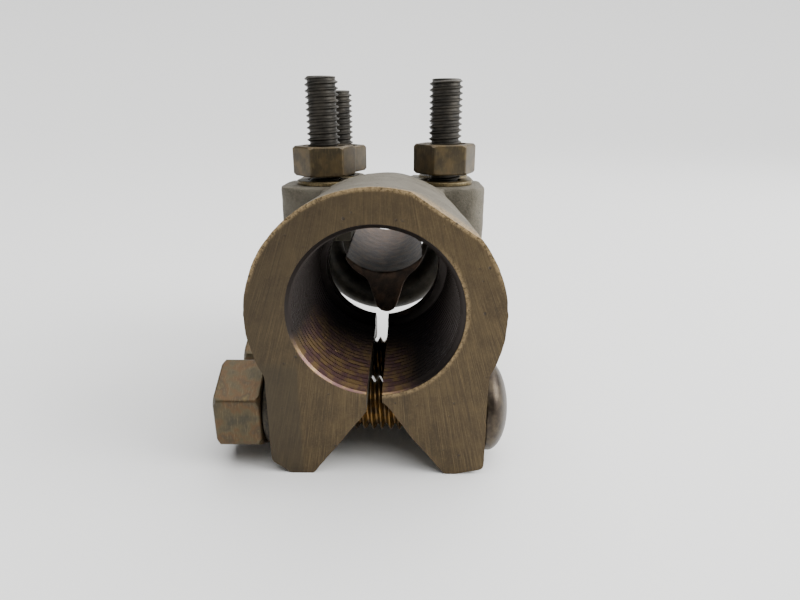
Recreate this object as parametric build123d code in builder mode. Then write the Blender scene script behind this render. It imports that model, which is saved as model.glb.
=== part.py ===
"""Ground clamp for rigid conduit: a split threaded hub pinched by two cross bolts,
with a two U-bolt cable clamp cast behind it. X is to the right, Y runs into the hub,
Z is up, and the origin is on the hub axis where the flared mouth meets the bore."""
import os
from math import cos, radians, sin, sqrt

from build123d import *

os.makedirs("parts", exist_ok=True)

# Hub for 1 in. conduit
hub_radius = 24.75
hub_drop = 1.25
hub_draft = 2.6
hub_length = 36.5
bore_radius = 15.4
mouth_radius = 17.0
mouth_depth = 1.8
rear_wall = 4.0
rear_hole_radius = 13.6

# Jaws under the hub, parted by a slit that opens into a notch
jaw_length = 39.4
jaw_half_width = 21.8
foot_z = -35.2
slit_width = 3.1
slit_x = -0.45
notch_left = [(slit_x - slit_width / 2, -20.6), (-13.3, foot_z)]
notch_right = [(slit_x + slit_width / 2, -18.4), (2.6, -20.0), (7.0, -26.6), (13.8, foot_z)]
lug_top_z = -14.6

# Pinch bolts, 7/16-14, across the jaws
pinch_diameter = 11.11
pinch_hex = 17.46
pinch_nut_height = 9.5
pinch_y = (7.7, 29.7)
pinch_z = -24.0
pinch_washer_thickness = 1.5
pinch_tip = {"front": 1.7, "rear": 0.3}
head_radius = 9.7
head_rim = 0.9
head_height = 5.4

# U-bolts, 5/16-18
rod_diameter = 7.94
leg_x = 15.1
loop_z = 3.5
u_bolt_x = (0.0, 1.1)
u_bolt_y = (44.5, 66.5)
leg_top_z = (43.5, 41.0)
u_nut_hex = 13.7
u_nut_height = 7.1
u_washer_radius = 7.1
u_washer_thickness = 1.0
nut_gaps = {"front_left": 1.2, "front_right": 1.7, "rear_left": 1.2, "rear_right": 1.2}
nut_turns = {"front_left": 13.0, "front_right": 6.8, "rear_left": 8.0, "rear_right": 33.0}

# Cable clamp block: a spine with a pair of ears for each U-bolt
block_half_width = 25.2
block_x = -0.3
block_end_margin = 8.5
block_bottom_z = 4.5
spine_half_width = 14.5
spine_top_z = 15.0
ear_gap = 15.0
ear_depth = 16.8
ear_corner = 4.0
pad_z = (18.2, 17.0)
crown_radius = 25.0
crown_top_z = 22.3
crown_draft = 5.9
cable_radius = 8.4
cable_z = 7.0

# Keeper under the cable
keeper_half_width = 9.8
keeper_start = 38.0
keeper_length = 44.0
keeper_climb = 2.6
keeper_top_z = -3.6
keeper_thickness = 2.5
keeper_lip_height = 4.5
trough_radius = 13.0
belly_radius = 11.0
rib_width = 8.4
rib_depth = 6.0
rib_bottom_z = -8.8
tab_thickness = 2.2
tab_x = 0.45
tab_bottom_z = -14.4

# Fits
bolt_hole_clearance = 0.4
leg_hole_clearance = 0.4
thread_clearance = 0.05
washer_clearance = 0.25
seat_clearance = 0.25
spot_face_clearance = 0.5

front_y = -mouth_depth
hub_end = front_y + hub_length
pinch_radius = pinch_diameter / 2
rod_radius = rod_diameter / 2
block_start = hub_end - rear_wall
block_end = u_bolt_y[1] + block_end_margin
tab_y = (keeper_start, block_end - tab_thickness)


def cross_plane(y):
    """A plane facing the front at depth y, with its sketch X to the right and Y up."""
    return Plane.XZ.offset(-y)


def side_plane(x):
    """A plane facing +X at x, with its sketch X along the depth and Y up."""
    return Plane.YZ.offset(x)


def save(part, name):
    """Label a finished piece and write its STEP file."""
    part.label = name
    export_step(part, f"parts/{name}.step")


# Clamp body: hub, jaws, cable block and crown in one casting
with BuildPart() as clamp_body:
    with BuildSketch(cross_plane(front_y)):
        with Locations((0, -hub_drop)):
            Circle(hub_radius)
    extrude(amount=-hub_length, taper=hub_draft)
    fillet(clamp_body.edges().filter_by(GeomType.CIRCLE).sort_by(Axis.Y)[0], 0.6)

    # Jaws, with feet that slope up towards their outer corners
    with BuildSketch(cross_plane(front_y)):
        with BuildLine():
            Polyline(
                (0, 0),
                (jaw_half_width, -4),
                (jaw_half_width, -34.0),
                (16.0, foot_z),
                (-18.0, foot_z),
                (-jaw_half_width, -32.2),
                (-jaw_half_width, -4),
                close=True,
            )
        make_face()
    extrude(amount=-jaw_length)
    upright_corners = [
        edge
        for edge in clamp_body.edges().filter_by(Axis.Y)
        if edge.center().Z < -30
    ]
    fillet(upright_corners, 1.0)

    # Behind the hub only the bolt lugs of the jaws remain
    with BuildSketch(cross_plane(hub_end)):
        with Locations((0, lug_top_z)):
            Rectangle(60, 60, align=(Align.CENTER, Align.MIN))
    extrude(amount=-(jaw_length - hub_length), mode=Mode.SUBTRACT)

    # Cable block: the spine, an ear each side for each leg, and the crown along the top
    with BuildSketch(Plane.XY.offset(block_bottom_z)):
        with Locations((0, (block_start + block_end) / 2)):
            Rectangle(2 * spine_half_width, block_end - block_start)
    extrude(amount=spine_top_z - block_bottom_z)
    for y, top_z in zip(u_bolt_y, pad_z):
        with BuildSketch(Plane.XY.offset(block_bottom_z)):
            with Locations((block_x, y)):
                RectangleRounded(2 * block_half_width, ear_depth, ear_corner)
            with Locations((0, y)):
                Rectangle(ear_gap, ear_depth, mode=Mode.SUBTRACT)
        extrude(amount=top_z - block_bottom_z)
    with BuildSketch(cross_plane(block_start)):
        with Locations((0, crown_top_z - crown_radius)):
            Circle(crown_radius)
        with Locations((0, block_bottom_z)):
            Rectangle(
                2 * spine_half_width, crown_radius,
                align=(Align.CENTER, Align.MIN), mode=Mode.INTERSECT,
            )
    extrude(amount=-(block_end - block_start), taper=crown_draft)

    # Bore with a flared mouth, and the wire hole in the rear wall
    with BuildSketch(cross_plane(front_y)):
        Circle(bore_radius)
    extrude(amount=-(hub_length - rear_wall), mode=Mode.SUBTRACT)
    with BuildSketch(cross_plane(front_y)):
        Circle(mouth_radius)
    with BuildSketch(cross_plane(0)):
        Circle(bore_radius)
    loft(mode=Mode.SUBTRACT)
    with BuildSketch(cross_plane(hub_end - rear_wall - 1)):
        Circle(rear_hole_radius)
    extrude(amount=-(rear_wall + 1), mode=Mode.SUBTRACT)

    # Open the wire hole into the half-round cable channel
    with BuildSketch(cross_plane(hub_end - 1)):
        with Locations((0, cable_z)):
            Circle(cable_radius)
        with Locations((0, cable_z)):
            Rectangle(2 * cable_radius, 40, align=(Align.CENTER, Align.MAX))
        with Locations((0, -10)):
            Rectangle(4 * cable_radius, 80, align=(Align.CENTER, Align.MAX), mode=Mode.SUBTRACT)
    extrude(amount=-(block_end - hub_end + 1), mode=Mode.SUBTRACT)

    # Slit from the bore down to the notch, and the notch between the jaws
    with BuildSketch(cross_plane(front_y)):
        with Locations((slit_x, 0)):
            Rectangle(slit_width, -foot_z, align=(Align.CENTER, Align.MAX))
        with BuildLine():
            Polyline(*notch_left[::-1], *notch_right, close=True)
        make_face()
    extrude(amount=-jaw_length, mode=Mode.SUBTRACT)

    # Holes for the pinch bolts
    with BuildSketch(side_plane(0)):
        with Locations(*[(y, pinch_z) for y in pinch_y]):
            Circle(pinch_radius + bolt_hole_clearance)
    extrude(amount=2 * hub_radius, both=True, mode=Mode.SUBTRACT)

    # Holes for the U-bolt legs, each spot-faced for its washer
    for x, y, top_z in zip(u_bolt_x, u_bolt_y, pad_z):
        legs = [(x - leg_x, y), (x + leg_x, y)]
        with BuildSketch(Plane.XY.offset(top_z)):
            with Locations(*legs):
                Circle(u_washer_radius + spot_face_clearance)
        extrude(amount=crown_top_z - top_z, mode=Mode.SUBTRACT)
        with BuildSketch(Plane.XY.offset(top_z)):
            with Locations(*legs):
                Circle(rod_radius + leg_hole_clearance)
        extrude(amount=-(top_z - block_bottom_z), mode=Mode.SUBTRACT)
save(clamp_body.part, "clamp_body")

# Pinch bolts: domed head on the right, plain cylinder at the thread's major diameter
head_x = jaw_half_width + 0.1
nut_x = -(jaw_half_width + pinch_washer_thickness + 0.3)
for place, y in zip(("front", "rear"), pinch_y):
    tip_x = nut_x - pinch_nut_height - pinch_tip[place]
    with BuildPart() as pinch_bolt:
        with BuildSketch(Plane(origin=(0, y, pinch_z), x_dir=(1, 0, 0), z_dir=(0, -1, 0))):
            with BuildLine():
                Polyline(
                    (head_x, 0), (tip_x, 0), (tip_x, pinch_radius - 1),
                    (tip_x + 1, pinch_radius), (head_x, pinch_radius), (head_x, head_radius),
                    (head_x + head_rim, head_radius),
                )
                EllipticalCenterArc(
                    (head_x + head_rim, 0), head_height - head_rim, head_radius,
                    start_angle=0, arc_size=90,
                )
                Line((head_x + head_height, 0), (head_x, 0))
            make_face()
        revolve(axis=Axis((0, y, pinch_z), (1, 0, 0)))
    save(pinch_bolt.part, f"{place}_pinch_bolt")

    # Its washer, against the left jaw
    with BuildPart() as pinch_washer:
        with BuildSketch(side_plane(-jaw_half_width - 0.1)):
            with Locations((y, pinch_z)):
                Circle(pinch_hex / 2 - 0.4)
                Circle(pinch_radius + washer_clearance, mode=Mode.SUBTRACT)
        extrude(amount=-pinch_washer_thickness)
    save(pinch_washer.part, f"{place}_pinch_washer")

    # Its hex nut, with both faces chamfered at the corners
    with BuildPart() as pinch_nut:
        with BuildSketch(side_plane(nut_x)):
            with Locations((y, pinch_z)):
                Circle(pinch_hex / sqrt(3))
        extrude(amount=-pinch_nut_height)
        chamfer(pinch_nut.edges().filter_by(GeomType.CIRCLE), 0.9)
        with BuildSketch(side_plane(nut_x)):
            with Locations((y, pinch_z)):
                RegularPolygon(pinch_hex / 2, 6, major_radius=False, rotation=30)
        extrude(amount=-pinch_nut_height, mode=Mode.INTERSECT)
        with BuildSketch(side_plane(nut_x)):
            with Locations((y, pinch_z)):
                Circle(pinch_radius + thread_clearance)
        extrude(amount=-pinch_nut_height, mode=Mode.SUBTRACT)
    save(pinch_nut.part, f"{place}_pinch_nut")

# U-bolts: a half-round loop with two upright legs
for place, middle_x, y, top_z, washer_z in zip(
    ("front", "rear"), u_bolt_x, u_bolt_y, leg_top_z, pad_z
):
    left_x, right_x = middle_x - leg_x, middle_x + leg_x
    with BuildPart() as u_bolt:
        with BuildLine() as rod_path:
            Line((left_x, y, top_z), (left_x, y, loop_z))
            ThreePointArc((left_x, y, loop_z), (middle_x, y, loop_z - leg_x), (right_x, y, loop_z))
            Line((right_x, y, loop_z), (right_x, y, top_z))
        with BuildSketch(Plane(origin=(left_x, y, top_z), z_dir=(0, 0, -1))):
            Circle(rod_radius)
        sweep()
        chamfer(u_bolt.edges().group_by(Axis.Z)[-1], 0.8)
    save(u_bolt.part, f"{place}_u_bolt")

    # A flat washer and a hex nut on each leg
    for side, x in (("left", left_x), ("right", right_x)):
        with BuildPart() as washer:
            with BuildSketch(Plane.XY.offset(washer_z)):
                with Locations((x, y)):
                    Circle(u_washer_radius)
                    Circle(rod_radius + washer_clearance, mode=Mode.SUBTRACT)
            extrude(amount=u_washer_thickness)
        save(washer.part, f"{place}_{side}_washer")

        corner = f"{place}_{side}"
        nut_z = washer_z + u_washer_thickness + nut_gaps[corner]
        with BuildPart() as nut:
            with BuildSketch(Plane.XY.offset(nut_z)):
                with Locations((x, y)):
                    Circle(u_nut_hex / sqrt(3))
            extrude(amount=u_nut_height)
            chamfer(nut.edges().filter_by(GeomType.CIRCLE), 0.7)
            with BuildSketch(Plane.XY.offset(nut_z)):
                with Locations((x, y)):
                    RegularPolygon(
                        u_nut_hex / 2, 6, major_radius=False, rotation=nut_turns[corner]
                    )
            extrude(amount=u_nut_height, mode=Mode.INTERSECT)
            with BuildSketch(Plane.XY.offset(nut_z)):
                with Locations((x, y)):
                    Circle(rod_radius + thread_clearance)
            extrude(amount=u_nut_height, mode=Mode.SUBTRACT)
        save(nut.part, f"{corner}_nut")

# Keeper: a thin trough that climbs a little towards the rear, where it runs on past the block
climb = radians(keeper_climb)
keeper_plane = Plane(
    origin=(0, keeper_start, keeper_top_z), x_dir=(1, 0, 0), z_dir=(0, -cos(climb), -sin(climb))
)
with BuildPart() as keeper:
    with BuildSketch(keeper_plane):
        with Locations((0, belly_radius - keeper_thickness)):
            Circle(belly_radius)
        with Locations((0, trough_radius)):
            Circle(trough_radius, mode=Mode.SUBTRACT)
        Rectangle(2 * keeper_half_width, 2 * keeper_lip_height, mode=Mode.INTERSECT)
    extrude(amount=-keeper_length)

    # Tabs, flared out of the belly and drawn in to a blunt round end
    for y in tab_y:
        with BuildSketch(Plane(origin=(tab_x, y, 0), x_dir=(1, 0, 0), z_dir=(0, -1, 0))):
            with BuildLine():
                ThreePointArc((-7.6, -2.8), (-5.0, -5.6), (-3.9, -8.6))
                Line((-3.9, -8.6), (-2.8, -12.2))
                ThreePointArc((-2.8, -12.2), (0, tab_bottom_z), (2.8, -12.2))
                Line((2.8, -12.2), (3.9, -8.6))
                ThreePointArc((3.9, -8.6), (5.0, -5.6), (7.6, -2.8))
                ThreePointArc((7.6, -2.8), (0, -4.3), (-7.6, -2.8))
            make_face()
        extrude(amount=-tab_thickness)

    # Ribs under the belly, hollowed to sit in the U-bolt loops
    with BuildSketch(Plane.XY.offset(rib_bottom_z)):
        with Locations(*zip(u_bolt_x, u_bolt_y)):
            Rectangle(rib_width, rib_depth)
    extrude(amount=keeper_top_z - 0.4 - rib_bottom_z)
    for x, y in zip(u_bolt_x, u_bolt_y):
        with Locations(Location((x, y, loop_z), (90, 0, 0))):
            Torus(leg_x, rod_radius + seat_clearance, mode=Mode.SUBTRACT)
save(keeper.part, "keeper")
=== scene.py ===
from math import cos, pi, radians, sin, sqrt

import bpy
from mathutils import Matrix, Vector


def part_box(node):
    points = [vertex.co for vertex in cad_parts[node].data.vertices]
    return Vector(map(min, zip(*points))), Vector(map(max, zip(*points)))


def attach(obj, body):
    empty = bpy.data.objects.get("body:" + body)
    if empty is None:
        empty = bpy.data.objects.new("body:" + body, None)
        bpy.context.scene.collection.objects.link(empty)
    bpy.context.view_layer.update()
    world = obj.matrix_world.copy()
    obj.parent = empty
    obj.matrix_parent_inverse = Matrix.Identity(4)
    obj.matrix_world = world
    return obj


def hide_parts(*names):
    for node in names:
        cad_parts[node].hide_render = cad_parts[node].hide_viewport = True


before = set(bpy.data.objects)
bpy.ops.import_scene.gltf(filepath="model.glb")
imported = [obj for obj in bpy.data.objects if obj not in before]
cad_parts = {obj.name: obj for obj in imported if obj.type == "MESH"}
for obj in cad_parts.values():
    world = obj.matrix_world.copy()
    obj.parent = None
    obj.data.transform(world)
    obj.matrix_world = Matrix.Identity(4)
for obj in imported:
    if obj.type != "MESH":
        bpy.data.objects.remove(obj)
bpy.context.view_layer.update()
MM = 0.001

# Camera: a short wide lens close to the hub's mouth, looking down on it by about twenty degrees.
bpy.ops.object.camera_add(
    location=(6.0 * MM, -95.4 * MM, 35.9 * MM), rotation=(radians(70.6), 0, radians(0.85))
)
camera = bpy.context.object
camera.data.lens = 24.3
camera.data.clip_start = 5 * MM
bpy.context.scene.camera = camera

# Floor: a sheet of pale card that runs back under the clamp and sweeps up behind it.
# The clamp stands on the flats under its two jaws.
floor_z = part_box("clamp_body")[0][2]
bpy.ops.mesh.primitive_plane_add(size=2, location=(0, 0, floor_z))
floor = bpy.context.object
floor.name = "card_floor"
floor_depth = 0.8
floor.scale = (14.0, floor_depth, 1)
bpy.ops.object.transform_apply(location=True, scale=True)
bpy.ops.object.mode_set(mode="EDIT")
bpy.ops.mesh.select_mode(type="EDGE")
bpy.ops.mesh.select_all(action="DESELECT")
bpy.ops.object.mode_set(mode="OBJECT")
for edge in floor.data.edges:
    edge.select = all(floor.data.vertices[v].co.y > floor_depth / 2 for v in edge.vertices)
bpy.ops.object.mode_set(mode="EDIT")
sweep_radius = 30.0
sweep_step = 0.5
for step in range(50):
    low, high = radians(sweep_step * step), radians(sweep_step * (step + 1))
    rise = sweep_radius * (cos(low) - cos(high))
    run = sweep_radius * (sin(high) - sin(low))
    bpy.ops.mesh.extrude_region_move(TRANSFORM_OT_translate={"value": (0, run, rise)})
bpy.ops.object.mode_set(mode="OBJECT")

card = bpy.data.materials.new("pale_card")
card.use_nodes = True
card_shader = card.node_tree.nodes["Principled BSDF"]
card_shader.inputs["Base Color"].default_value = (0.84, 0.84, 0.83, 1)
card_shader.inputs["Roughness"].default_value = 0.9
floor.data.materials.append(card)

# Light: a wide soft skylight from above, the right and a little behind, a soft box on the right
# for the shine of the metal, a weak one on the left, and a dim pale room around them.
bpy.ops.object.light_add(
    type="SUN", location=(0.3, 0.3, 1), rotation=(radians(-10), radians(18), 0)
)
skylight = bpy.context.object
skylight.name = "skylight"
skylight.data.energy = 5.9
skylight.data.angle = radians(100)
box_size = 0.5
for name, place, turn, power in (
    ("left_soft_box", (-0.7, -0.25, 0.35), (radians(62), 0, radians(-70)), 0.25),
    ("right_soft_box", (0.7, -0.1, 0.35), (radians(64), 0, radians(82)), 8.0),
):
    bpy.ops.object.light_add(type="AREA", location=place, rotation=turn)
    light = bpy.context.object
    light.name = name
    light.data.size = box_size
    light.data.energy = power
room = bpy.data.worlds.new("pale_room")
bpy.context.scene.world = room
room.use_nodes = True
room.node_tree.nodes["Background"].inputs["Color"].default_value = (0.95, 0.97, 1.0, 1)
room.node_tree.nodes["Background"].inputs["Strength"].default_value = 0.14


# Clamp body: one bronze sand casting, with the hub, the jaws, the cable block and its crown.
# Its front face is filed flat, the pads are spot-faced, the bore has a slightly tapered thread
# for the conduit, and a slit parts the jaws so that the hub can be pinched shut.
def only(piece):
    """Select this piece alone and make it active."""
    bpy.ops.object.select_all(action="DESELECT")
    piece.select_set(True)
    bpy.context.view_layer.objects.active = piece


def settled(name):
    """Name the primitive just added and apply its place to its mesh."""
    piece = bpy.context.object
    piece.name = name
    piece.data.name = name
    only(piece)
    bpy.ops.object.transform_apply(location=True, rotation=True, scale=True)
    return piece


def modified(piece, kind, **settings):
    """Add a modifier with these settings and apply it."""
    only(piece)
    modifier = piece.modifiers.new(kind.title(), kind)
    for setting, value in settings.items():
        setattr(modifier, setting, value)
    bpy.ops.object.modifier_apply(modifier=modifier.name)


def combined(piece, tool, operation):
    """Join, cut or trim a solid with another, which is used up."""
    modified(piece, "BOOLEAN", object=tool, operation=operation, solver="EXACT")
    bpy.data.objects.remove(tool)


def cylinder(name, radius, length, start, axis="Z", sides=96, end_radius=None):
    """A closed cylinder or cone that runs from start along an axis for a length."""
    turn = {"X": (0, pi / 2, 0), "Y": (-pi / 2, 0, 0), "Z": (0, 0, 0)}[axis]
    middle = Vector(start)
    middle["XYZ".index(axis)] += length / 2
    bpy.ops.mesh.primitive_cone_add(
        vertices=sides, radius1=radius, radius2=radius if end_radius is None else end_radius,
        depth=length, location=middle, rotation=turn,
    )
    return settled(name)


def threaded_rod(name, core, crest, pitch, length, steps=48):
    """A rod along +Z from the origin with a right-hand 60 degree thread, its ends square."""
    half_width = 0.48 * pitch
    height = 0.83 * pitch
    apex = crest + 0.1 * pitch
    turns = int(length / pitch) + 4
    bpy.ops.mesh.primitive_circle_add(
        vertices=4, radius=1, location=(apex - height, 0, -1.5 * pitch), rotation=(pi / 2, 0, 0)
    )
    bpy.context.object.scale = (height, half_width, 1)
    ridge = settled(name + "_ridge")
    modified(
        ridge, "SCREW", axis="Z", angle=2 * pi, screw_offset=pitch, iterations=turns,
        steps=steps, render_steps=steps, use_normal_calculate=True,
    )
    bpy.ops.object.mode_set(mode="EDIT")
    bpy.ops.mesh.select_all(action="SELECT")
    bpy.ops.mesh.remove_doubles(threshold=1e-6)
    bpy.ops.mesh.fill_holes(sides=4)
    bpy.ops.mesh.select_all(action="SELECT")
    bpy.ops.mesh.normals_make_consistent(inside=False)
    bpy.ops.object.mode_set(mode="OBJECT")
    rod = cylinder(name, core, length + 2 * pitch, (0, 0, -pitch), sides=steps - 2)
    combined(rod, ridge, "UNION")
    envelope = cylinder(name + "_envelope", crest, length, (0, 0, 0), sides=steps + 2)
    combined(rod, envelope, "INTERSECT")
    return rod


def turned(piece, location, rotation):
    """Turn a piece about the origin, move it, and apply both to its mesh."""
    only(piece)
    piece.rotation_euler = rotation
    piece.location = location
    bpy.ops.object.transform_apply(location=True, rotation=True, scale=True)


def noisy(piece, strength, grain, depth=2):
    """Push a mesh in and out by soft random clouds."""
    clouds = bpy.data.textures.new(piece.name + "_clouds", "CLOUDS")
    clouds.noise_scale = grain
    clouds.noise_depth = depth
    modified(
        piece, "DISPLACE", texture=clouds, texture_coords="LOCAL", strength=strength, mid_level=0.5
    )


def boxed(name, low, high):
    """A box between two corners given in millimetres."""
    low, high = Vector(low) * MM, Vector(high) * MM
    bpy.ops.mesh.primitive_cube_add(size=1, location=(low + high) / 2)
    bpy.context.object.scale = high - low
    return settled(name)


def copied(piece, name):
    """Another piece of the same shape with its own mesh."""
    twin = bpy.data.objects.new(name, piece.data.copy())
    twin.data.name = name
    bpy.context.collection.objects.link(twin)
    return twin


def welded(node, name):
    """A copy of a solid's mesh with its corners welded, ready to be worked."""
    piece = copied(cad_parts[node], name)
    only(piece)
    bpy.ops.object.mode_set(mode="EDIT")
    bpy.ops.mesh.select_all(action="SELECT")
    bpy.ops.mesh.remove_doubles(threshold=1e-6)
    bpy.ops.object.mode_set(mode="OBJECT")
    return piece


bore_radius = 15.4 * MM
bore_pitch = 25.4 / 16 * MM
thread_depth = 0.95 * MM
thread_taper = 0.55 * MM
bore_length = 30.7 * MM
mouth_radius = 17.0 * MM
mouth_depth = 1.8 * MM
wall_y = 30.7 * MM
wall_thickness = 4.0 * MM
wire_hole_radius = 13.6 * MM
hub_radius = 24.75 * MM
hub_draft = radians(2.6)
front_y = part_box("clamp_body")[0][1]

body = welded("clamp_body", "cast_body")

# as poured, the front face has metal to spare, and the wire hole and the slit are still solid
spare_metal = 1.5 * MM
spare = copied(body, "spare_metal")
combined(spare, boxed("slice", (-40, -5, -45), (40, 1.2, 45)), "INTERSECT")
turned(spare, (0, -spare_metal, 0), (0, 0, 0))
poured = [
    spare,
    cylinder("hole_metal", 16 * MM, wall_thickness, (0, wall_y, 0), "Y"),
    boxed("slit_metal", (-2.6, -3.3, -18.2), (1.7, 34.6, -12)),
]

# the mould's parting line stands proud along each side of the hub
flash_width = 0.55 * MM
flash_length = 37 * MM
flash_x = hub_radius - 1 * MM
for side in (-1, 1):
    bpy.ops.mesh.primitive_cube_add(
        size=1, location=(side * flash_x, 16 * MM, 0), rotation=(0, pi / 4, side * hub_draft)
    )
    bpy.context.object.scale = (flash_width, flash_length, flash_width)
    poured.append(settled("flash"))
only(body)
for piece in poured:
    piece.select_set(True)
bpy.ops.object.join()
modified(body, "REMESH", mode="VOXEL", voxel_size=0.5 * MM)

# the rim is worn down at the upper right, most of all at the front
worn_way = Vector((0.55, -0.16, 0.835))
worn_depth = 22.7 * MM / worn_way.length
wear_size = (40 * MM, 36 * MM, 20 * MM)
bpy.ops.mesh.primitive_cube_add(
    size=1, location=worn_way.normalized() * (worn_depth + wear_size[2] / 2),
    rotation=worn_way.to_track_quat("Z", "Y").to_euler(),
)
bpy.context.object.scale = wear_size
combined(body, settled("wear"), "DIFFERENCE")
modified(body, "SMOOTH", factor=0.5, iterations=5)
noisy(body, 0.32 * MM, 4 * MM, 3)

# machining: the front is filed flat, the mouth reamed, the wire hole bored, the bore tapped
# and the slit sawn
combined(body, boxed("file", (-40, -12, -45), (40, front_y / MM, 45)), "DIFFERENCE")
flare = (mouth_radius - bore_radius) / mouth_depth
lead = 0.5 * MM
run_on = 0.4 * MM
reamer = cylinder(
    "reamer", mouth_radius + flare * lead, lead + mouth_depth + run_on, (0, front_y - lead, 0), "Y",
    end_radius=bore_radius - flare * run_on,
)
combined(body, reamer, "DIFFERENCE")
drill_start = (0, wall_y - wall_thickness, 0)
drill = cylinder("drill", wire_hole_radius, 3 * wall_thickness, drill_start, "Y")
combined(body, drill, "DIFFERENCE")
tap_radius = bore_radius + thread_taper
tap_length = lead + mouth_depth + bore_length
tap = threaded_rod(
    "tap", tap_radius, tap_radius + thread_depth, bore_pitch, tap_length, steps=96
)
modified(
    tap, "SIMPLE_DEFORM", deform_method="TAPER", deform_axis="Z", factor=-thread_taper / tap_radius
)
turned(tap, (0, front_y - lead, 0), (-pi / 2, 0, 0))
combined(body, tap, "DIFFERENCE")
combined(body, boxed("saw", (-2.0, -5, -21.5), (1.1, 45, -2)), "DIFFERENCE")
only(body)
bpy.ops.object.shade_smooth_by_angle(angle=radians(38))
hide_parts("clamp_body")
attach(body, "clamp")


class Shade:
    """A shader socket that takes part in Python sums; node() adds any other node to its tree."""

    def __init__(self, tree, socket=None):
        self.tree = tree
        self.socket = socket

    def node(self, kind, settings, inputs, output=0):
        """Add a node: its settings first, then the values or links of its sockets."""
        made = self.tree.nodes.new("ShaderNode" + kind)
        for name, value in settings.items():
            if name == "stops":
                while len(made.color_ramp.elements) < len(value):
                    made.color_ramp.elements.new(1.0)
                for element, (place, colour) in zip(made.color_ramp.elements, value):
                    element.position = place
                    element.color = (*colour, 1)
            else:
                setattr(made, name, value)
        for name, value in inputs.items():
            if isinstance(value, Shade):
                self.tree.links.new(value.socket, made.inputs[name])
            else:
                made.inputs[name].default_value = value
        return Shade(self.tree, made.outputs[output])

    def math(self, operation, first, second):
        return self.node("Math", {"operation": operation}, {0: first, 1: second})

    def __add__(self, other):
        return self.math("ADD", self, other)

    def __radd__(self, other):
        return self.math("ADD", other, self)

    def __sub__(self, other):
        return self.math("SUBTRACT", self, other)

    def __rsub__(self, other):
        return self.math("SUBTRACT", other, self)

    def __mul__(self, other):
        return self.math("MULTIPLY", self, other)

    def __rmul__(self, other):
        return self.math("MULTIPLY", other, self)

    def __rtruediv__(self, other):
        return self.math("DIVIDE", other, self)

    def __pow__(self, other):
        return self.math("POWER", self, other)

    def noise(self, scale, detail=4.0, rough=0.55, **more):
        """Clouds from 0 to 1 on these coordinates."""
        inputs = {"Vector": self, "Scale": scale, "Detail": detail, "Roughness": rough, **more}
        return self.node("TexNoise", {}, inputs)

    def cells(self, scale):
        """Distance from scattered points on these coordinates."""
        return self.node("TexVoronoi", {}, {"Vector": self, "Scale": scale})

    def stretched(self, turn, scale):
        """These coordinates, turned and then scaled."""
        return self.node("Mapping", {}, {"Vector": self, "Rotation": turn, "Scale": scale})

    def rising(self, low, high):
        """0 below low and 1 above high, smoothly; falling where low is above high."""
        settings = {"interpolation_type": "SMOOTHSTEP"}
        return self.node("MapRange", settings, {"Value": self, "From Min": low, "From Max": high})

    def blend(self, low, high):
        """The colour low where this is 0 and high where it is 1."""
        colours = [c if isinstance(c, Shade) else (*c, 1) for c in (low, high)]
        return self.node("Mix", {"data_type": "RGBA"}, {0: self, 6: colours[0], 7: colours[1]}, 2)

    def bump(self, height, strength, over=None):
        """A normal that follows this height in metres, over another normal."""
        inputs = {"Height": self * height, "Strength": strength, "Distance": 1.0}
        if over is not None:
            inputs["Normal"] = over
        return self.node("Bump", {}, inputs)


def finish_named(name):
    """A new material: its shader, and its coordinates on the object in millimetres."""
    material = bpy.data.materials.new(name)
    material.use_nodes = True
    tree = material.node_tree
    shader = tree.nodes["Principled BSDF"]
    place = Shade(tree).node("TexCoord", {}, {}, 3)
    millimetres = place.stretched((0, 0, 0), (1000, 1000, 1000))
    return material, shader, millimetres


def wire(shader, **sockets):
    """Set or link the shader's sockets; an underscore in a name stands for a space."""
    for name, value in sockets.items():
        socket = shader.inputs[name.replace("_", " ")]
        if isinstance(value, Shade):
            value.tree.links.new(value.socket, socket)
        else:
            socket.default_value = value


def dressed(piece, material):
    """Give a piece this one material all over."""
    piece.data.materials.clear()
    piece.data.materials.append(material)


# its finish: dull grey sand skin, a filed brown front painted darker to the left as shade, worn gold
# edges with a painted gold glint at the mouth, and a stained thread painted dark as shade except for a
# painted highlight low on the left
casting, shader, mm = finish_named("cast_bronze")
x, y, z = (mm.node("SeparateXYZ", {}, {0: mm}, axis) for axis in range(3))
hub_drop = 1.25
axis_distance = (x * x + z * z) ** 0.5
rim_distance = (x * x + (z + hub_drop) * (z + hub_drop)) ** 0.5
front_mm = front_y / MM
filed = y.rising(front_mm + 0.12, front_mm + 0.04)
in_bore = axis_distance.rising(17.6, 17.3) * y.rising(front_mm + 0.04, front_mm + 0.12)
in_bore = in_bore * y.rising(wall_y / MM + 3.9, wall_y / MM + 3.6)

sand = mm.noise(1.9, 6.0, 0.7)
patches = mm.noise(0.16, 3.0, 0.6)
skin = patches.rising(0.35, 0.7).blend((0.082, 0.072, 0.052), (0.135, 0.122, 0.094))
skin = sand.rising(0.35, 0.75).blend(skin, (0.150, 0.132, 0.098))

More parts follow.
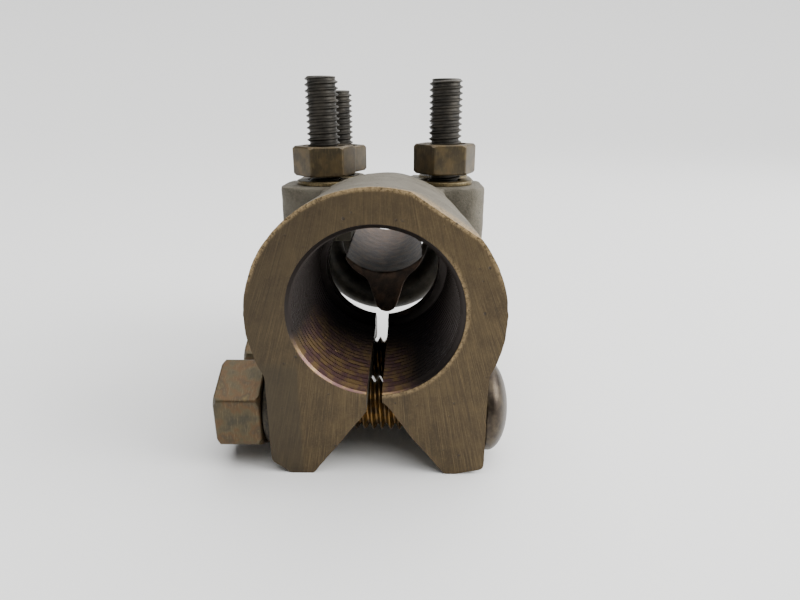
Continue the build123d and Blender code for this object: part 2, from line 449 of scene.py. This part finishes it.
# file marks fan out downwards from a point above the crown
fan_height = 62.0
fan = x * (1 / (fan_height - z)) * fan_height
strokes = mm.node("CombineXYZ", {}, {0: fan, 1: y, 2: z})
scratches = strokes.stretched((0, 0, 0), (9.0, 1.0, 0.14)).noise(1.0, 4.0, 0.6)
scores = strokes.stretched((0, radians(12), 0), (6.0, 1.0, 0.08)).noise(1.0, 2.0, 0.5)
blotches = mm.noise(0.22, 5.0, 0.65)
speckle = mm.noise(2.6, 4.0, 0.65)
face = blotches.rising(0.30, 0.75).blend((0.046, 0.030, 0.013), (0.078, 0.052, 0.022))
face = (speckle.rising(0.45, 0.75) * 0.5).blend(face, (0.105, 0.073, 0.034))
face = (scratches.rising(0.46, 0.70) * 0.55).blend(face, (0.150, 0.104, 0.046))
face = (scores.rising(0.58, 0.66) * 0.55).blend(face, (0.028, 0.019, 0.010))
# painted shade: the front face darkens towards its left, away from the light on the right
face = ((x - z * 0.4).rising(4.0, -28.0) * 0.5).blend(face, (0.030, 0.021, 0.011))
shaded_band = x.rising(-14.9, -15.7) * z.rising(-9.0, -12.0)
face = (shaded_band * 0.55).blend(face, (0.036, 0.028, 0.016))
stain = mm.noise(0.35, 3.0, 0.6)
thread = stain.rising(0.38, 0.62).blend((0.120, 0.064, 0.062), (0.22, 0.140, 0.062))
# painted light: the thread is painted dark as shade deep in the bore and high up, with a painted
# pinkish highlight on its lower left near the mouth
painted_bore_light = (x * -0.40 - z).rising(10.0, 15.6) * y.rising(26.0, 8.0)
thread = painted_bore_light.blend((0.022, 0.017, 0.015), thread)
gold = sand.rising(0.3, 0.7).blend((0.13, 0.088, 0.040), (0.34, 0.24, 0.12))
worn = x * worn_way.x + z * worn_way.z + y * worn_way.y
worn = worn.rising(21.9, 22.5) * y.rising(front_mm + 4.0, front_mm + 0.5)
edge = rim_distance.rising(23.7, 24.5) * z.rising(2.0, 10.0)
edge = edge * y.rising(front_mm + 1.3, front_mm + 0.3)
# painted highlight: a gold glint on the mouth's edge at its lower right, mixed in with the worn gold of
# the rim
mouth_glint = axis_distance.rising(18.0, 17.1) * filed * (x - z * 0.5).rising(2.0, 14.0) * 0.7
gilt_and_glint = worn.math("MAXIMUM", worn, edge)
gilt_and_glint = gilt_and_glint.math("MAXIMUM", gilt_and_glint, mouth_glint) * sand.rising(0.30, 0.55)
pits = mm.cells(0.42).rising(0.16, 0.08) * patches.rising(0.48, 0.56)
colour = filed.blend(skin, face)
colour = in_bore.blend(colour, thread)
colour = gilt_and_glint.blend(colour, gold)
colour = (pits * 0.75).blend(colour, (0.03, 0.024, 0.018))
grain = (sand * (1 - filed) * (1 - in_bore)).bump(0.00022, 0.8)
scored = ((scratches + scores) * filed).bump(0.00004, 0.4, grain)
pitted = (pits * -1.0).bump(0.0002, 0.6, scored)
wire(
    shader, Base_Color=colour, Metallic=0.30 + filed * 0.25 + in_bore * 0.45,
    Roughness=0.60 - filed * 0.14 - in_bore * 0.28 + sand * 0.1, Normal=pitted,
)
dressed(body, casting)


# Pinch bolts: two dark bronze carriage-type bolts through the jaws, domed heads on the right.
# Each is forged with a low dome and a rolled 7/16 in. thread.
pinch_pitch = 25.4 / 14 * MM
pinch_crest = 5.52 * MM
pinch_core = pinch_crest - 0.61 * pinch_pitch
pinch_flats = 17.46 * MM
low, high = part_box("front_pinch_bolt")
head_radius = (high[1] - low[1]) / 2
head_height = 5.4 * MM
head_x = high[0] - head_height
front_bolt = cylinder("front_carriage_bolt", head_radius, head_height, (head_x, 0, 0), "X")
rim_height = 0.9 * MM
rim_x = head_x + rim_height
bpy.ops.mesh.primitive_uv_sphere_add(
    segments=96, ring_count=64, radius=1, location=(rim_x, 0, 0), rotation=(0, pi / 2, 0)
)
dome_radius = head_radius * 1.004
bpy.context.object.scale = (dome_radius, dome_radius, head_height - rim_height)
dome = settled("dome")
barrel = cylinder("barrel", head_radius * 1.01, head_height, (rim_x - head_height, 0, 0), "X")
combined(dome, barrel, "UNION")
combined(front_bolt, dome, "INTERSECT")
modified(
    front_bolt, "BEVEL", width=0.3 * MM, segments=3, limit_method="ANGLE", angle_limit=radians(50)
)
shank_length = head_x - low[0]
shank = threaded_rod("shank", pinch_core, pinch_crest, pinch_pitch, shank_length)
barrel_radius = pinch_crest + 0.2 * MM
point_length = 1.2 * MM
barrel_length = shank_length - point_length
point = cylinder(
    "point", barrel_radius, point_length, (0, 0, barrel_length), end_radius=pinch_crest - 0.9 * MM
)
barrel = cylinder("barrel", barrel_radius, barrel_length, (0, 0, 0))
combined(barrel, point, "UNION")
combined(shank, barrel, "INTERSECT")
turned(shank, (head_x + 0.3 * MM, 0, 0), (0, -pi / 2, 0))
combined(front_bolt, shank, "UNION")
only(front_bolt)
bpy.ops.object.shade_smooth_by_angle(angle=radians(32))

# the two are screwed in to different angles, so their threads are out of step
pinch_bolts = [front_bolt, copied(front_bolt, "rear_carriage_bolt")]
for bolt, place, turn in zip(pinch_bolts, ("front", "rear"), (radians(-93), radians(50))):
    low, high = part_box(f"{place}_pinch_bolt")
    turned(bolt, (0, (low[1] + high[1]) / 2, (low[2] + high[2]) / 2), (turn, 0, 0))
    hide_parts(f"{place}_pinch_bolt")
    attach(bolt, "clamp")

tarnish, shader, mm = finish_named("dark_tarnish")
x = mm.node("SeparateXYZ", {}, {0: mm})
mottle = mm.noise(0.55, 5.0, 0.6)
fine = mm.noise(3.0, 4.0, 0.6)
head_tint = mottle.rising(0.35, 0.68).blend((0.034, 0.025, 0.018), (0.075, 0.058, 0.038))
shank_tint = mottle.rising(0.35, 0.7).blend((0.045, 0.028, 0.012), (0.22, 0.120, 0.030))
tint = x.rising(20.0, 21.5).blend(shank_tint, head_tint)
wire(
    shader, Base_Color=tint, Metallic=0.75, Roughness=0.28 + mottle * 0.22,
    Normal=fine.bump(0.00005, 0.5),
)
for bolt in pinch_bolts:
    dressed(bolt, tarnish)


# Pinch nuts and washers: a thick hex nut draws each bolt up on the left jaw over a thin dark ring.
# The nuts are turned from hex bar, so their corners are chamfered and their flats are smooth.
def hex_nut(name, flats, height, hole, chamfer):
    """A hex nut standing on the origin along +Z, chamfered at both ends and countersunk."""
    corner = flats / sqrt(3)
    bpy.ops.mesh.primitive_cylinder_add(
        vertices=6, radius=corner, depth=height, location=(0, 0, height / 2), rotation=(0, 0, pi / 6)
    )
    nut = settled(name)
    modified(
        nut, "BEVEL", width=0.028 * flats, segments=3, limit_method="ANGLE", angle_limit=radians(50),
    )
    blank = cylinder("blank", corner, height, (0, 0, 0), sides=128)
    modified(
        blank, "BEVEL", width=chamfer, segments=1, limit_method="ANGLE", angle_limit=radians(50),
    )
    combined(nut, blank, "INTERSECT")
    combined(nut, cylinder("drill", hole, height * 1.2, (0, 0, -0.1 * height)), "DIFFERENCE")
    sink = 0.09 * flats
    below = -0.0001 * MM
    for start, first, last in ((below, hole + sink, hole), (height - sink, hole, hole + sink)):
        combined(nut, cylinder("sink", first, sink, (0, 0, start), end_radius=last), "DIFFERENCE")
    return nut


def ring_washer(name, outer, inner, thickness):
    """A flat ring standing on the origin, its rims rounded as punching leaves them."""
    ring = cylinder(name, outer, thickness, (0, 0, 0))
    combined(ring, cylinder("punch", inner, thickness * 3, (0, 0, -thickness)), "DIFFERENCE")
    modified(
        ring, "BEVEL", width=0.22 * thickness, segments=3, limit_method="ANGLE", angle_limit=radians(50)
    )
    return ring


low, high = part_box("front_pinch_nut")
front_nut = hex_nut(
    "front_jaw_nut", pinch_flats, high[0] - low[0], pinch_crest + 0.07 * MM, chamfer=0.9 * MM
)
turned(front_nut, (0, 0, 0), (0, -pi / 2, 0))
bpy.ops.object.shade_smooth_by_angle(angle=radians(32))
low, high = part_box("front_pinch_washer")
front_ring = ring_washer(
    "front_jaw_ring", (high[1] - low[1]) / 2, pinch_crest + 0.28 * MM, high[0] - low[0]
)
turned(front_ring, (0, 0, 0), (0, -pi / 2, 0))
bpy.ops.object.shade_smooth_by_angle(angle=radians(32))
jaw_nuts = [front_nut, copied(front_nut, "rear_jaw_nut")]
jaw_rings = [front_ring, copied(front_ring, "rear_jaw_ring")]
for pieces, kind, slot in (
    (jaw_nuts, "nut", "nut_bronze"), (jaw_rings, "washer", "washer_bronze")
):
    for piece, place in zip(pieces, ("front", "rear")):
        node = f"{place}_pinch_{kind}"
        low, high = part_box(node)
        turned(piece, (high[0], (low[1] + high[1]) / 2, (low[2] + high[2]) / 2), (0, 0, 0))
        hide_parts(node)
        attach(piece, node)

hot_bronze, shader, mm = finish_named("heat_tinted_bronze")
bloom = mm.noise(0.28, 3.0, 0.5)
drag = mm.stretched((0, 0, 0), (6.0, 0.6, 0.6)).noise(1.0, 4.0, 0.6)
fine = mm.noise(2.6, 4.0, 0.6)
tint = bloom.node(
    "ValToRGB",
    {"stops": [
        (0.30, (0.042, 0.036, 0.022)), (0.44, (0.070, 0.054, 0.027)), (0.54, (0.085, 0.048, 0.020)),
        (0.62, (0.055, 0.040, 0.022)), (0.74, (0.150, 0.106, 0.038)),
    ]},
    {"Fac": bloom},
)
tint = (drag.rising(0.5, 0.75) * 0.6).blend(tint, (0.14, 0.105, 0.055))
wire(
    shader, Base_Color=tint, Metallic=0.6, Roughness=0.36 + fine * 0.2,
    Normal=fine.bump(0.00004, 0.5),
)
dark_ring, shader, mm = finish_named("dark_ring")
fine = mm.noise(1.4, 4.0, 0.6)
wire(
    shader, Base_Color=fine.rising(0.35, 0.7).blend((0.020, 0.017, 0.013), (0.06, 0.048, 0.03)),
    Metallic=0.5, Roughness=0.5 + fine * 0.2, Normal=fine.bump(0.00005, 0.5),
)
for pieces, finish in ((jaw_nuts, hot_bronze), (jaw_rings, dark_ring)):
    for piece in pieces:
        dressed(piece, finish)


# U-bolts: two rods bent to a half circle, their legs threaded 5/16 in. from the top down.
# The dark oxide of the rolling is still on them.
u_pitch = 25.4 / 18 * MM
u_crest = 4.04 * MM
u_core = u_crest - 0.46 * u_pitch
u_flats = 13.7 * MM
half_rod = 3.97 * MM
rod_radius = 3.90 * MM
thread_length = 35.5 * MM
stud = threaded_rod("stud", u_core, u_crest, u_pitch, thread_length + 0.6 * MM, steps=40)
sleeve_radius = u_crest + 0.3 * MM
nose_length = 0.9 * MM
sleeve_length = thread_length - 0.3 * MM
sleeve = cylinder("sleeve", sleeve_radius, sleeve_length, (0, 0, 0))
nose = cylinder(
    "nose", sleeve_radius, nose_length, (0, 0, sleeve_length), end_radius=u_crest - 0.7 * MM
)
combined(sleeve, nose, "UNION")
combined(stud, sleeve, "INTERSECT")
u_bolts = []
for place in ("front", "rear"):
    node = f"{place}_u_bolt"
    low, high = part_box(node)
    leg_x = (high[0] - low[0]) / 2 - half_rod
    centre_x, centre_y = (low[0] + high[0]) / 2, (low[1] + high[1]) / 2
    loop_z = low[2] + half_rod + leg_x
    thread_end_z = high[2] - thread_length
    bpy.ops.mesh.primitive_circle_add(
        vertices=40, radius=rod_radius, fill_type="NGON",
        location=(centre_x - leg_x, centre_y, thread_end_z),
    )
    u_bolt = settled(f"{place}_bent_rod")
    bpy.ops.object.mode_set(mode="EDIT")
    bpy.ops.mesh.select_all(action="SELECT")
    drop = loop_z - thread_end_z
    bpy.ops.mesh.extrude_region_move(TRANSFORM_OT_translate={"value": (0, 0, drop)})
    bend_steps = 40
    for step in range(bend_steps):
        low_angle, high_angle = pi * step / bend_steps, pi * (step + 1) / bend_steps
        move = (
            leg_x * (cos(low_angle) - cos(high_angle)), 0, leg_x * (sin(low_angle) - sin(high_angle))
        )
        bpy.ops.mesh.extrude_region_move(TRANSFORM_OT_translate={"value": move})
        bpy.ops.transform.rotate(
            value=pi / bend_steps, orient_axis="Y",
            center_override=(
                centre_x - leg_x * cos(high_angle), centre_y, loop_z - leg_x * sin(high_angle)
            ),
        )
    bpy.ops.mesh.extrude_region_move(TRANSFORM_OT_translate={"value": (0, 0, -drop)})
    bpy.ops.mesh.select_all(action="SELECT")
    bpy.ops.mesh.normals_make_consistent(inside=False)
    bpy.ops.object.mode_set(mode="OBJECT")
    for side, down in ((-1, 0.6 * MM), (1, 1.2 * MM)):
        leg = copied(stud, "leg")
        foot = (centre_x + side * leg_x, centre_y, thread_end_z - down)
        turned(leg, foot, (0, 0, radians(70 * side)))
        combined(u_bolt, leg, "UNION")
    only(u_bolt)
    bpy.ops.object.shade_smooth_by_angle(angle=radians(32))
    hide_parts(node)
    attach(u_bolt, node)
    u_bolts.append(u_bolt)
bpy.data.objects.remove(stud)

oxide, shader, mm = finish_named("rolled_oxide")
mottle = mm.noise(0.4, 5.0, 0.6)
fine = mm.noise(3.4, 4.0, 0.6)
tint = mottle.rising(0.35, 0.7).blend((0.026, 0.024, 0.020), (0.060, 0.053, 0.042))
tint = (fine.rising(0.55, 0.75) * 0.5).blend(tint, (0.11, 0.093, 0.07))
wire(
    shader, Base_Color=tint, Metallic=0.55, Roughness=0.38 + mottle * 0.2,
    Normal=fine.bump(0.00005, 0.5),
)
for u_bolt in u_bolts:
    dressed(u_bolt, oxide)


# U-bolt nuts and washers: each leg has a bronze hex nut, left loose above a flat washer.
# The washers lie on the spot-faced pads of the casting.
nut_turns = {"front_left": 13.0, "front_right": 6.8, "rear_left": 8.0, "rear_right": 33.0}
low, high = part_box("front_left_nut")
plain_nut = hex_nut(
    "plain_nut", u_flats, high[2] - low[2], u_crest + 0.06 * MM, chamfer=0.7 * MM
)
only(plain_nut)
bpy.ops.object.shade_smooth_by_angle(angle=radians(32))
low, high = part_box("front_left_washer")
plain_ring = ring_washer(
    "plain_ring", (high[0] - low[0]) / 2, u_crest + 0.26 * MM, high[2] - low[2]
)
only(plain_ring)
bpy.ops.object.shade_smooth_by_angle(angle=radians(32))
leg_nuts, leg_rings = [], []
for corner, turn in nut_turns.items():
    low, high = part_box(f"{corner}_nut")
    seat = ((low[0] + high[0]) / 2, (low[1] + high[1]) / 2, low[2])
    nut = copied(plain_nut, f"{corner}_leg_nut")
    turned(nut, seat, (0, 0, radians(turn)))
    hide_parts(f"{corner}_nut")
    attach(nut, f"{corner}_nut")
    leg_nuts.append(nut)

    low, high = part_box(f"{corner}_washer")
    ring = copied(plain_ring, f"{corner}_leg_washer")
    turned(ring, (seat[0], seat[1], low[2]), (0, 0, 0))
    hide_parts(f"{corner}_washer")
    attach(ring, "clamp")
    leg_rings.append(ring)
bpy.data.objects.remove(plain_nut)
bpy.data.objects.remove(plain_ring)

nut_bronze, shader, mm = finish_named("nut_bronze")
bloom = mm.noise(0.35, 3.0, 0.5)
drag = mm.stretched((0, 0, 0), (5.0, 5.0, 0.5)).noise(1.0, 4.0, 0.6)
fine = mm.noise(2.6, 4.0, 0.6)
tint = bloom.rising(0.35, 0.7).blend((0.050, 0.038, 0.021), (0.100, 0.070, 0.032))
tint = (drag.rising(0.52, 0.75) * 0.7).blend(tint, (0.15, 0.115, 0.06))
wire(
    shader, Base_Color=tint, Metallic=0.6, Roughness=0.34 + fine * 0.2,
    Normal=fine.bump(0.00004, 0.5),
)
washer_bronze, shader, mm = finish_named("washer_bronze")
fine = mm.noise(1.6, 4.0, 0.6)
tint = fine.rising(0.35, 0.7).blend((0.085, 0.066, 0.030), (0.20, 0.150, 0.070))
wire(
    shader, Base_Color=tint, Metallic=0.6, Roughness=0.32 + fine * 0.2,
    Normal=fine.bump(0.00004, 0.5),
)
for pieces, finish in ((leg_nuts, nut_bronze), (leg_rings, washer_bronze)):
    for piece in pieces:
        dressed(piece, finish)


# Keeper: a small bronze trough cast with a tapered tab at each end, seated in both U-bolt loops.
# It is left as cast, so its edges are soft and its skin is coppery.
keeper = welded("keeper", "cast_keeper")
modified(keeper, "REMESH", mode="VOXEL", voxel_size=0.25 * MM)
modified(keeper, "SMOOTH", factor=0.5, iterations=5)
noisy(keeper, 0.12 * MM, 2.5 * MM)
bpy.ops.object.shade_smooth()
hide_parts("keeper")
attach(keeper, "keeper")

coppery, shader, mm = finish_named("coppery_casting")
sand = mm.noise(2.2, 5.0, 0.65)
patches = mm.noise(0.4, 3.0, 0.6)
tint = patches.rising(0.35, 0.7).blend((0.050, 0.034, 0.024), (0.115, 0.068, 0.042))
tint = (sand.rising(0.5, 0.75) * 0.5).blend(tint, (0.16, 0.10, 0.065))
wire(
    shader, Base_Color=tint, Metallic=0.5, Roughness=0.42 + sand * 0.15,
    Normal=sand.bump(0.00010, 0.6),
)
dressed(keeper, coppery)
